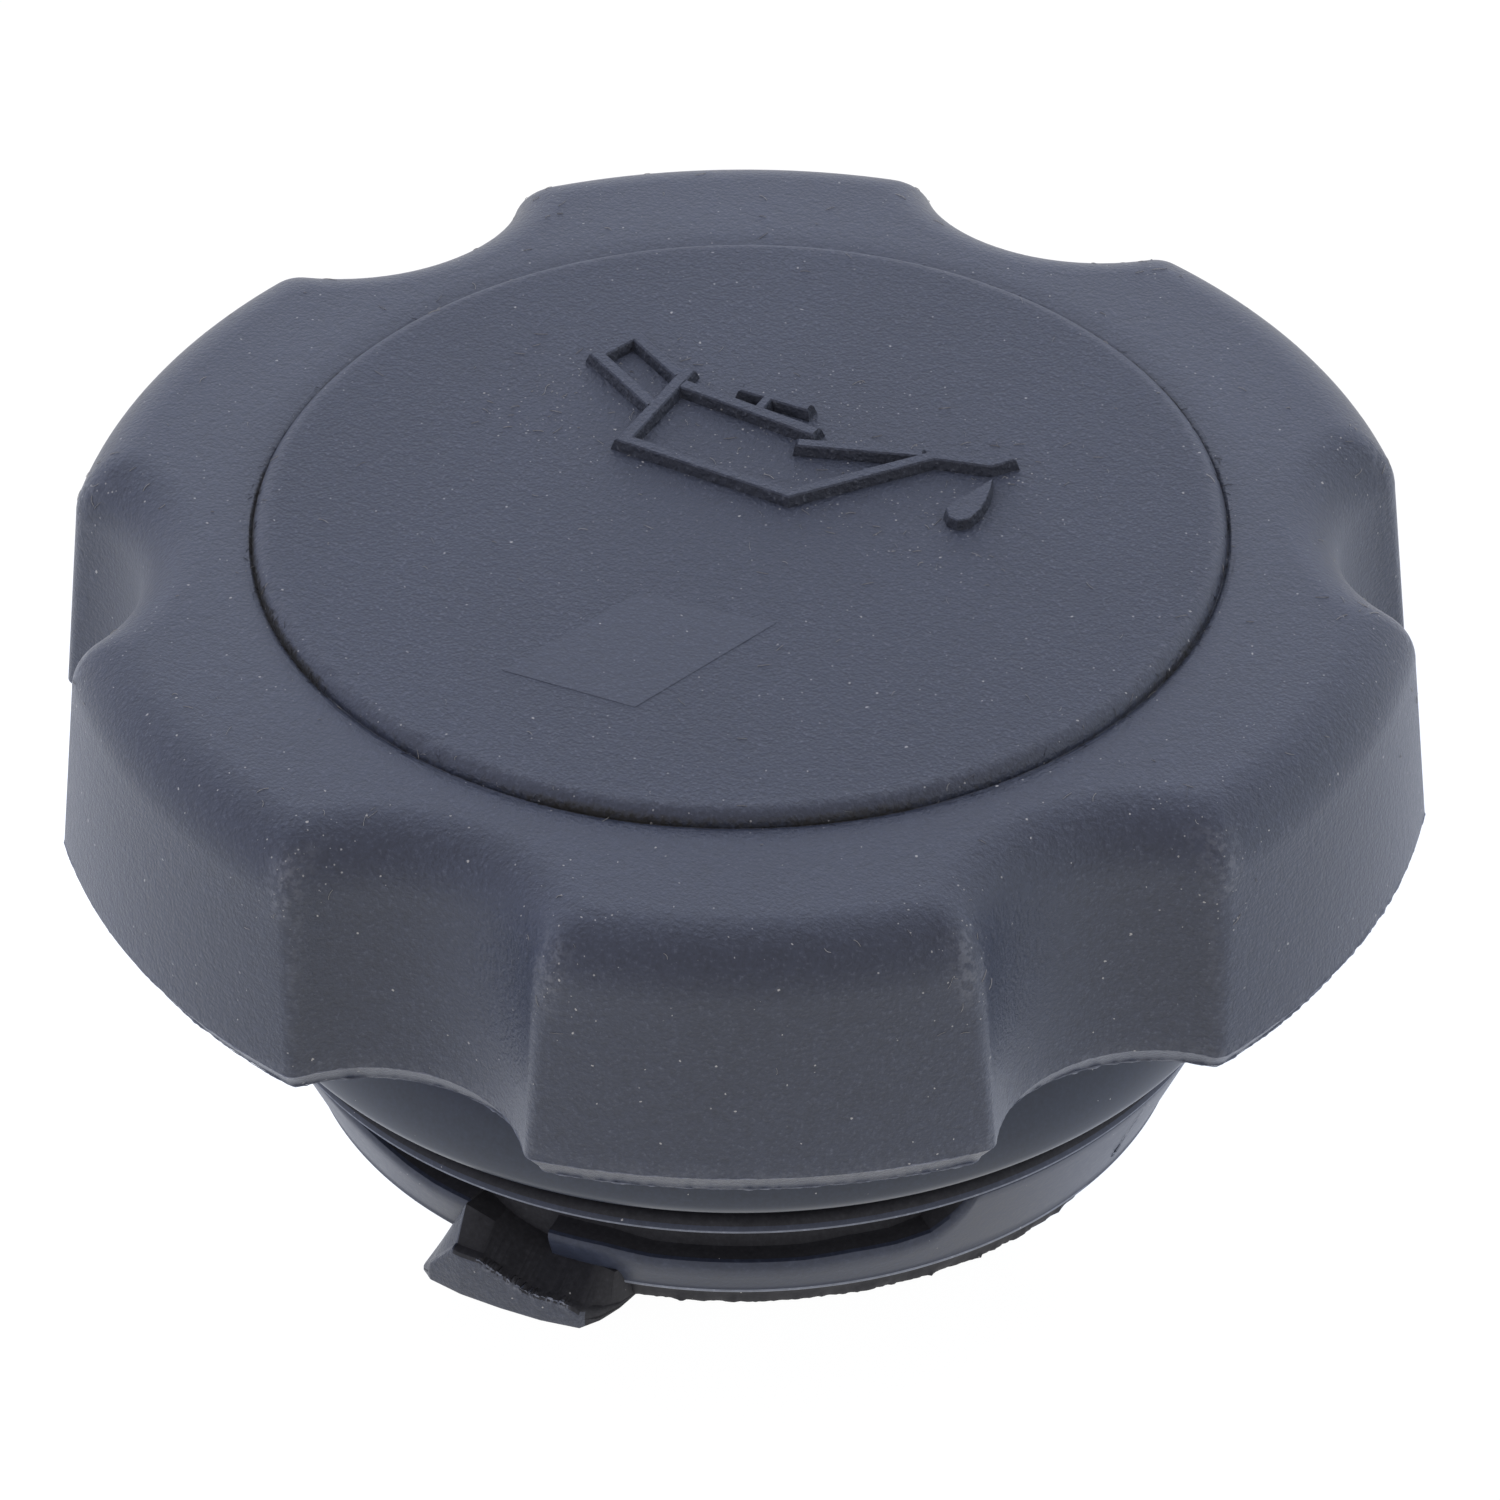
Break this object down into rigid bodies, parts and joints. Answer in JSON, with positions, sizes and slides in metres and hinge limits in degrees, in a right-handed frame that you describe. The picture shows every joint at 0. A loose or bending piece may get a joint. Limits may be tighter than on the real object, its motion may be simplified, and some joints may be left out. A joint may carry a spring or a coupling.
{
  "type": "oil filler cap",
  "caption": "Lobed plastic oil filler cap with a hollow bayonet spigot, two ramped lugs and a rubber sealing ring that closes an engine's filler neck.",
  "frame": {"origin": "on the cap's axis, in the plane of the spigot's bottom rim, on which the cap stands", "axes": "+Z along the cap's axis, from the spigot up to the grip's top; +X through the middle of a lobe, the way the oil-can sign reads; the two bayonet lugs point to -Y and +Y"},
  "size_m": [0.066, 0.0646, 0.0312],
  "materials": {
    "cap_plastic": "fine spark-eroded grain on dark slate grey glass-filled plastic",
    "seal_rubber": "smooth moulded rubber with a slight sheen"
  },
  "bodies": {
    "root": {"cap_body": "cap_plastic", "sealing_ring": "seal_rubber"}
  },
  "joints": []
}
